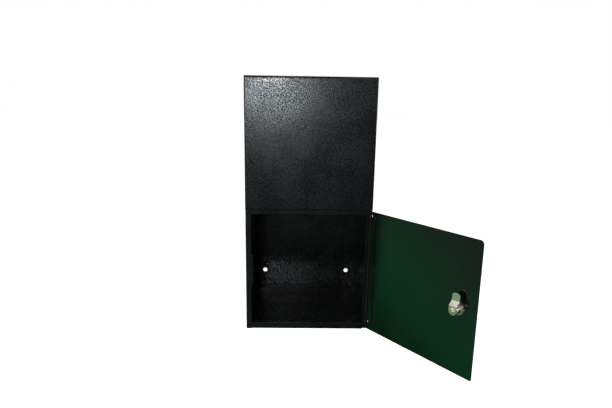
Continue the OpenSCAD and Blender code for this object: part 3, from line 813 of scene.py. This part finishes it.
# %% Plug, wafers, stop washer and cam
for node_name, width, finish, slot in (
        ("lock_plug", 0.12 * mm, nickel, "lock_plate"),
        ("lock_wafers", 0.05 * mm, brass, "wafer_brass"),
        ("stop_washer", 0.12 * mm, zinc, "zinc_plate"),
        ("lock_cam", 0.3 * mm, zinc, "zinc_plate"),
        ("cam_screw_washer", 0.15 * mm, zinc, "zinc_plate"),
        ("cam_screw", 0.1 * mm, zinc, "zinc_plate")):
    settle(softened(merged_copy(node_name), width), node_name + "_part", "latch", finish, slot,
           node_name)

# %% [markdown]
# Weld beads hold the folded sheets together. A bead is a row of small overlapping drops, each
# a little different. The base mesh holds only lines, one for each weld; the tree turns them
# into evenly spaced points and puts a flattened drop on each, with its own seeded size and
# turn.

# %% Geometry Nodes: weld beads
weld_tree, weld_in, weld_out = new_group("GeometryNodeTree", "weld beads", [
    ("Lines", "NodeSocketGeometry", None),
    ("Pitch", "NodeSocketFloat", 1.1 * mm),
    ("Drop Radius", "NodeSocketFloat", 1.1 * mm),
    ("Seed", "NodeSocketInt", 7),
    ("Material", "NodeSocketMaterial", None),
], [("Geometry", "NodeSocketGeometry")])
weld_curve = put(weld_tree, "GeometryNodeMeshToCurve", {0: weld_in.outputs["Lines"]})
weld_steps = put(weld_tree, "GeometryNodeCurveToPoints",
                 {"Curve": weld_curve.outputs[0], "Length": weld_in.outputs["Pitch"]},
                 mode="LENGTH")
weld_drop = put(weld_tree, "GeometryNodeMeshIcoSphere",
                {"Radius": weld_in.outputs["Drop Radius"], "Subdivisions": 3})
weld_size = put(weld_tree, "FunctionNodeRandomValue",
                {"Min": (0.75, 0.75, 0.55), "Max": (1.1, 1.1, 0.8), "Seed": weld_in.outputs["Seed"]},
                data_type="FLOAT_VECTOR")
weld_turn = put(weld_tree, "FunctionNodeRandomValue",
                {"Min": (-0.3, -0.3, 0.0), "Max": (0.3, 0.3, 6.28), "Seed": weld_in.outputs["Seed"]},
                data_type="FLOAT_VECTOR")
weld_points = put(weld_tree, "GeometryNodeInstanceOnPoints",
                  {"Points": weld_steps.outputs[0], "Instance": weld_drop.outputs[0],
                   "Rotation": weld_turn.outputs[0], "Scale": weld_size.outputs[0]})
weld_real = put(weld_tree, "GeometryNodeRealizeInstances", {0: weld_points.outputs[0]})
weld_smooth = put(weld_tree, "GeometryNodeSetShadeSmooth", {0: weld_real.outputs[0]})
weld_set = put(weld_tree, "GeometryNodeSetMaterial",
               {"Geometry": weld_smooth.outputs[0], "Material": weld_in.outputs["Material"]})
weld_tree.links.new(weld_set.outputs[0], weld_out.inputs[0])


def weld_lines(name, lines, matrix):
    """A mesh of loose edges, one for each weld."""
    mesh = bpy.data.meshes.new(name)
    points = [point for line in lines for point in line]
    mesh.from_pydata(points, [(i, i + 1) for i in range(0, len(points), 2)], [])
    mesh.transform(matrix)
    return mesh


# %% [markdown]
# On the door, three short tacks hold the leg of the rolled edge down: near its two ends and
# at the middle. They are drawn on the shut door, where the seam is a straight line, and swung
# open with it.

# %% Door tacks
seam_x = door_pin.x - roll_leg - 0.1 * mm
seam_y = door_pin.y - roll_r + sheet + 0.5 * mm
on_shut_door = swing_open @ Matrix.Translation((0, 0, box_bottom))
tack_spans = ((22, 32), (126, 138), (232.5, 239))       # heights in millimetres
door_tacks = [((seam_x, seam_y, low * mm), (seam_x, seam_y, high * mm))
              for low, high in tack_spans]
door_welds = grown(weld_tree, weld_lines("tacks", door_tacks, on_shut_door),
                   {"Drop Radius": 1.15 * mm, "Seed": 11, "Material": door_coat})
door_tack_piece = link("door_edge_tacks", door_welds)
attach(door_tack_piece, "door")
print("door tacks:", len(door_welds.polygons), "faces")

# %% [markdown]
# In the cabinet, beads run under both lugs and beside the strike, close the two lower rear
# corners, and sit on the sill as two short tacks. They come from the same tree.

# %% Cabinet welds
jamb_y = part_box("upper_hinge_lug")[1].y
strike_low, strike_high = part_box("latch_strike")
lug_span = (door_pin.x - 1.7 * mm, door_pin.x + 1.7 * mm)
cabinet_lines = []
for lug in ("upper_hinge_lug", "lower_hinge_lug"):
    weld_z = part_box(lug)[0].z - 0.1 * mm
    cabinet_lines.append(((lug_span[0], jamb_y - 0.2 * mm, weld_z),
                          (lug_span[1], jamb_y - 0.2 * mm, weld_z)))
strike_jamb_x = strike_high.x - 3.5 * mm
sill_h = 14 * mm
sill_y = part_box("floor_pan")[0].y + sheet / 2
for height in (106, 138):
    weld_z = box_bottom + height * mm
    cabinet_lines.append(((strike_jamb_x, strike_low.y, weld_z - 3 * mm),
                          (strike_jamb_x, strike_low.y, weld_z + 3 * mm)))
corner_x = 112.6 * mm
tack_x = 82 * mm
for side in (-1, 1):
    cabinet_lines.append(((side * corner_x, -1.1 * mm, box_bottom + 1.6 * mm),
                          (side * corner_x, -1.1 * mm, box_bottom + 4.2 * mm)))
    cabinet_lines.append(((side * tack_x - 2.5 * mm, sill_y, box_bottom + sill_h - 0.3 * mm),
                          (side * tack_x + 2.5 * mm, sill_y, box_bottom + sill_h - 0.3 * mm)))
cabinet_welds = grown(weld_tree, weld_lines("seams", cabinet_lines, Matrix.Identity(4)),
                      {"Drop Radius": 0.95 * mm, "Seed": 5, "Material": cabinet_coat})
cabinet_weld_piece = link("cabinet_welds", cabinet_welds)
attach(cabinet_weld_piece, "cabinet")
print("cabinet welds:", len(cabinet_welds.polygons), "faces")

# %% [markdown]
# The studio. The surroundings matter more than the lamps here, because the coat is a dark
# mirror. A gradient by direction gives it something to mirror: a dim green band low on the
# left, a little tilted, which the open door's inner face reflects, and neutral grey elsewhere.
# The camera itself sees plain white.

# %% World
world = bpy.data.worlds.new("studio")
bpy.context.scene.world = world
world.use_nodes = True
sky = world.node_tree
sky.nodes.clear()
direction = put(sky, "ShaderNodeTexCoord")
parts = put(sky, "ShaderNodeSeparateXYZ", {0: direction.outputs["Generated"]})
ramp_stops = [(-0.62, (0.02, 0.05, 0.01)), (-0.52, (0.03, 0.09, 0.02)), (-0.475, (0.03, 0.13, 0.03)),
              (-0.43, (0.04, 0.42, 0.15)), (-0.385, (0.08, 0.85, 0.37)), (-0.33, (0.11, 0.60, 0.27)),
              (-0.26, (0.15, 0.42, 0.23)), (-0.18, (0.22, 0.27, 0.21)), (0.05, (0.14, 0.16, 0.16)),
              (0.45, (0.42, 0.45, 0.46)), (1.0, (0.90, 0.95, 0.98))]
depthwise = calc(sky, "MINIMUM", calc(sky, "MAXIMUM", parts.outputs["Y"], -0.25), 0.25)
tilted = calc(sky, "MULTIPLY", depthwise, 0.9)
height = calc(sky, "SUBTRACT", parts.outputs["Z"], tilted)
height_share = calc(sky, "ADD", calc(sky, "MULTIPLY", height, 0.5), 0.5)
ramp = put(sky, "ShaderNodeValToRGB", {0: height_share})
while len(ramp.color_ramp.elements) < len(ramp_stops):
    ramp.color_ramp.elements.new(0.5)
for element, (stop, colour) in zip(ramp.color_ramp.elements, ramp_stops):
    element.position = stop * 0.5 + 0.5
    element.color = (*colour, 1)
leftness = spread(sky, calc(sky, "MULTIPLY", parts.outputs["X"], -1.0), -0.15, 0.45)
surround = blend_colours(sky, leftness, (0.055, 0.062, 0.062, 1), ramp.outputs[0])
ray = put(sky, "ShaderNodeLightPath")
seen = put(sky, "ShaderNodeBackground", {"Color": (1, 1, 1, 1), "Strength": 1.0})
felt = put(sky, "ShaderNodeBackground", {"Color": surround, "Strength": 1.0})
choice = put(sky, "ShaderNodeMixShader",
             {0: ray.outputs["Is Camera Ray"], 1: felt.outputs[0], 2: seen.outputs[0]})
put(sky, "ShaderNodeOutputWorld", {0: choice.outputs[0]})
print("world has", len(ramp_stops), "bands of light")

# %% [markdown]
# The lamps. A small key near the camera, a little left and above it, is mirrored as a bright
# grainy patch in the upper left of the panel. A soft panel overhead lights the lid and the
# metal, tall dim ones serve the two sides, and one behind serves the back. Each is aimed with
# a track rotation and hidden from the camera.

# %% Lamps
def lamp(name, place, target, width, height, power, colour):
    """A soft rectangular lamp aimed at a point."""
    data = bpy.data.lights.new(name, "AREA")
    data.shape = "RECTANGLE"
    data.size = width
    data.size_y = height
    data.energy = power
    data.color = colour
    thing = link(name, data)
    aim = Vector(target) - Vector(place)
    thing.matrix_world = Matrix.Translation(place) @ aim.to_track_quat("-Z", "Y").to_matrix().to_4x4()
    thing.visible_camera = False
    return thing


lamp("key", (-0.20, -2.5, 0.30), (-0.06, -0.25, 0.22), 0.26, 0.26, 8, (0.88, 0.95, 1.0))
lamp("sky panel", (-0.2, -0.9, 2.0), (0, -0.25, 0.1), 1.5, 0.7, 10, (0.92, 0.97, 1.0))
lamp("right", (1.7, -1.5, 0.6), (0, -0.1, 0.0), 0.6, 1.6, 14, (0.96, 1.0, 0.98))
lamp("left", (-2.0, -0.4, 0.9), (0, -0.1, 0.0), 0.5, 1.4, 10, (0.97, 1.0, 0.98))
lamp("back", (-0.5, 1.9, 1.6), (0, 0, 0), 1.6, 0.9, 18, (1.0, 0.99, 0.96))
print("lamps:", len(bpy.data.lights))

# %% [markdown]
# A pale floor lies far below, as the box hangs on a wall. It is only there to be seen: it
# neither mirrors in the coat nor lights the box from below.

# %% Floor
floor_mesh = bpy.data.meshes.new("floor")
floor_half = 30
floor_drop = 1.1
floor_mesh.from_pydata([(-floor_half, -floor_half, 0), (floor_half, -floor_half, 0),
                        (floor_half, floor_half, 0), (-floor_half, floor_half, 0)], [], [(0, 1, 2, 3)])
floor = link("floor", floor_mesh)
floor.location.z = box_bottom - floor_drop
floor.visible_glossy = False
floor.visible_diffuse = False
floor_material = bpy.data.materials.new("pale floor")
floor_material.use_nodes = True
floor_shader = floor_material.node_tree.nodes["Principled BSDF"]
floor_shader.inputs["Base Color"].default_value = (0.9, 0.9, 0.9, 1)
floor_shader.inputs["Roughness"].default_value = 0.9
floor_shader.inputs["Emission Color"].default_value = (1, 1, 1, 1)
floor_shader.inputs["Emission Strength"].default_value = 0.92
floor_mesh.materials.append(floor_material)
print("floor lies", floor_drop, "m below the box")

# %% [markdown]
# Blender can bend colours like a film camera does. The plain setting leaves them as they were
# made, so a dark coat stays dark and the white stays white.

# %% Colours as they are
bpy.context.scene.view_settings.view_transform = "Standard"
bpy.context.scene.view_settings.look = "None"
